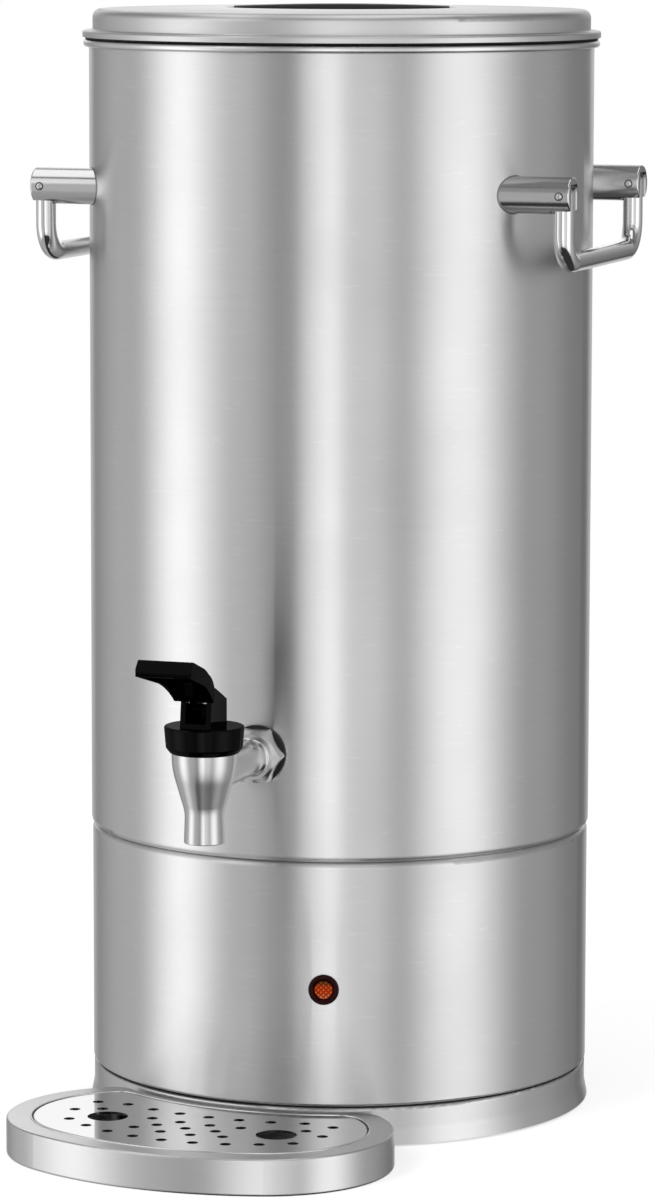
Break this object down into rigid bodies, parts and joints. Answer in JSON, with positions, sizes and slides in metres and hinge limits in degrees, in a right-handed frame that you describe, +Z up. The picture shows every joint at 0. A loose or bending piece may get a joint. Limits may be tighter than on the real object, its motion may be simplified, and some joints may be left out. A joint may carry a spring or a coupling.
{
  "type": "hot water urn",
  "caption": "Tall double-walled steel hot water urn with a lift-off lid, hinged bail handles, a lever tap and a perforated drip tray",
  "frame": {"origin": "centre of the foot ring on the surface that the urn stands on, on the urn's axis", "axes": "+Z up along the urn's axis, -Y the way the tap faces, +X to the right seen from the tap's side"},
  "size_m": [0.309, 0.4446, 0.6146],
  "materials": {
    "brushed_steel": "fine horizontal brush, satin",
    "lid_steel": "fine brush, satin",
    "tank_steel": "bright drawn sheet",
    "handle_steel": "tumbled satin",
    "pin_steel": "turned bright",
    "tap_steel": "polished over a fine brush",
    "black_gloss_plastic": "gloss moulded",
    "black_plastic": "fine moulded texture",
    "rubber": "matt",
    "silicone": "satin",
    "insulation": "glass wool sleeve",
    "galvanised_steel": "galvanised",
    "lamp_ring": "gloss moulded, dark amber red",
    "lamp_lens": "facetted translucent amber",
    "tray_steel": "brushed wall, bright rim",
    "polished_steel": "mirror polished"
  },
  "bodies": {
    "urn_body": {"outer_casing": "brushed_steel", "base_casing": "brushed_steel", "casing_screws": "pin_steel", "inner_tank": "tank_steel", "insulation_sleeve": "insulation", "plinth_ring": "brushed_steel", "plinth_seal": "rubber", "base_plate": "galvanised_steel", "base_screws": "pin_steel", "foot_ring": "rubber", "heating_element": "tank_steel", "element_nuts": "pin_steel", "boil_thermostat": "black_plastic", "thermal_cutout": "black_plastic", "terminal_block": "black_plastic", "right_front_post": "handle_steel", "right_rear_post": "handle_steel", "left_front_post": "handle_steel", "left_rear_post": "handle_steel", "right_bail_pins": "pin_steel", "left_bail_pins": "pin_steel", "tap_body": "tap_steel", "tap_flange_seal": "rubber", "tap_inner_seal": "rubber", "tap_lock_nut": "pin_steel", "tap_bonnet": "black_gloss_plastic", "bonnet_gasket": "rubber", "lever_pin": "pin_steel", "valve_spring": "pin_steel", "lamp_bezel": "lamp_ring", "lamp_lens": "lamp_lens", "lamp_nut": "pin_steel", "switch_housing": "black_plastic", "cable_gland": "black_plastic", "gland_nut": "pin_steel"},
    "lid": {"lid_shell": "lid_steel", "lid_skirt": "lid_steel", "lid_seal": "silicone", "lid_grip": "black_plastic", "grip_screws": "pin_steel"},
    "right_bail": {"right_bail": "handle_steel"},
    "left_bail": {"left_bail": "handle_steel"},
    "lever": {"tap_lever": "black_gloss_plastic"},
    "stem": {"valve_stem": "pin_steel", "seat_cup": "silicone"},
    "rocker": {"switch_rocker": "black_gloss_plastic"},
    "tray": {"drip_tray": "tray_steel"},
    "grid": {"drip_grid": "polished_steel"}
  },
  "joints": [
    {"name": "lid_lift", "type": "slide", "parent": "urn_body", "child": "lid", "axis": [0, 0, 1], "range_m": [0, 0.2]},
    {"name": "right_bail_swing", "type": "hinge", "parent": "urn_body", "child": "right_bail", "pos_m": [0.1488, 0, 0.5148], "axis": [0, -1, 0], "range_deg": [0, 90]},
    {"name": "left_bail_swing", "type": "hinge", "parent": "urn_body", "child": "left_bail", "pos_m": [-0.1488, 0, 0.5148], "axis": [0, 1, 0], "range_deg": [0, 90]},
    {"name": "tap_lever_press", "type": "hinge", "parent": "urn_body", "child": "lever", "pos_m": [0, -0.2326, 0.257], "axis": [1, 0, 0], "range_deg": [0, 18], "stiffness_Nm_per_rad": 0.4, "springref_deg": -20.05},
    {"name": "valve_lift", "type": "slide", "parent": "urn_body", "child": "stem", "axis": [0, 0, 1], "range_m": [0, 0.0043], "deforming": ["valve_spring"]},
    {"name": "rocker_tilt", "type": "hinge", "parent": "urn_body", "child": "rocker", "pos_m": [0, 0.1374, 0.092], "axis": [-1, 0, 0], "range_deg": [0, 16]},
    {"name": "tray_slide", "type": "slide", "parent": "urn_body", "child": "tray", "axis": [-0.108, -0.9942, 0], "range_m": [0, 0.18]},
    {"name": "grid_lift", "type": "slide", "parent": "tray", "child": "grid", "axis": [0, 0, 1], "range_m": [0, 0.05]}
  ],
  "couplings": [
    {"joint": "valve_lift", "follows": "tap_lever_press", "m_per_rad": 0.0134}
  ]
}
